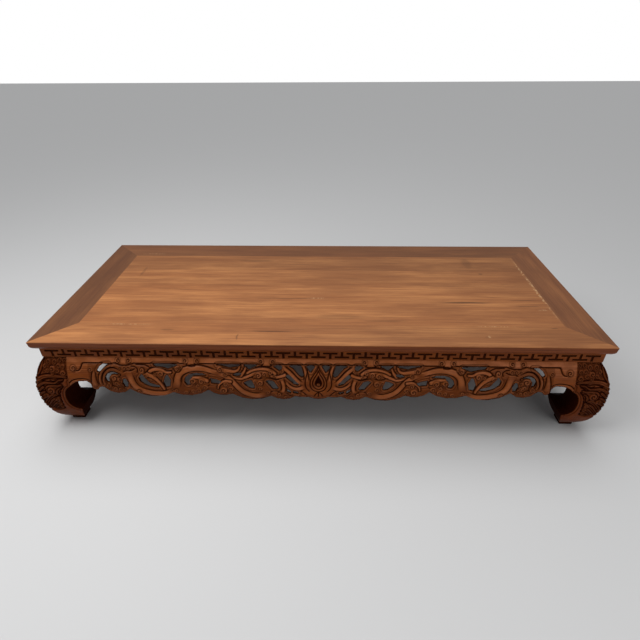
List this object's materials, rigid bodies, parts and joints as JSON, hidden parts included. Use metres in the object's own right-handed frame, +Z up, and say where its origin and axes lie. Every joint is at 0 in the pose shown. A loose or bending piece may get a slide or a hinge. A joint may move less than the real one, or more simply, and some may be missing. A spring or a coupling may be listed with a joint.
{
  "type": "kang table",
  "caption": "Low rectangular kang table with a mitred frame-and-panel top, fretted waist, pierced scroll-carved aprons and bulging legs on hoof feet.",
  "frame": {"origin": "centre of the table's outline on the floor", "axes": "+X along the table's length, +Y from its front to its back, +Z up"},
  "size_m": [1.869, 0.789, 0.353],
  "materials": {
    "top_rail_long": "oiled open-grained hardwood, satin, worn",
    "top_rail_short": "oiled open-grained hardwood, satin, darker across the grain",
    "panel_board": "oiled open-grained hardwood, satin, worn",
    "batten": "planed hardwood, unfinished",
    "waist": "carved hardwood, stained and oiled",
    "apron": "carved hardwood, stained and oiled, dark in its recesses",
    "leg": "carved hardwood, stained dark and oiled",
    "peg": "plain hardwood"
  },
  "bodies": {
    "root": {"apron_back": "apron", "apron_front": "apron", "apron_left": "apron", "apron_right": "apron", "batten_1": "batten", "batten_2": "batten", "batten_3": "batten", "batten_4": "batten", "batten_5": "batten", "frame_rail_back": "top_rail_long", "frame_rail_front": "top_rail_long", "frame_rail_left": "top_rail_short", "frame_rail_right": "top_rail_short", "leg_back_left": "leg", "leg_back_right": "leg", "leg_front_left": "leg", "leg_front_right": "leg", "mitre_pegs": "peg", "panel_board_1": "panel_board", "panel_board_2": "panel_board", "panel_board_3": "panel_board", "panel_board_4": "panel_board", "waist_back": "waist", "waist_front": "waist", "waist_left": "waist", "waist_right": "waist"}
  },
  "joints": []
}
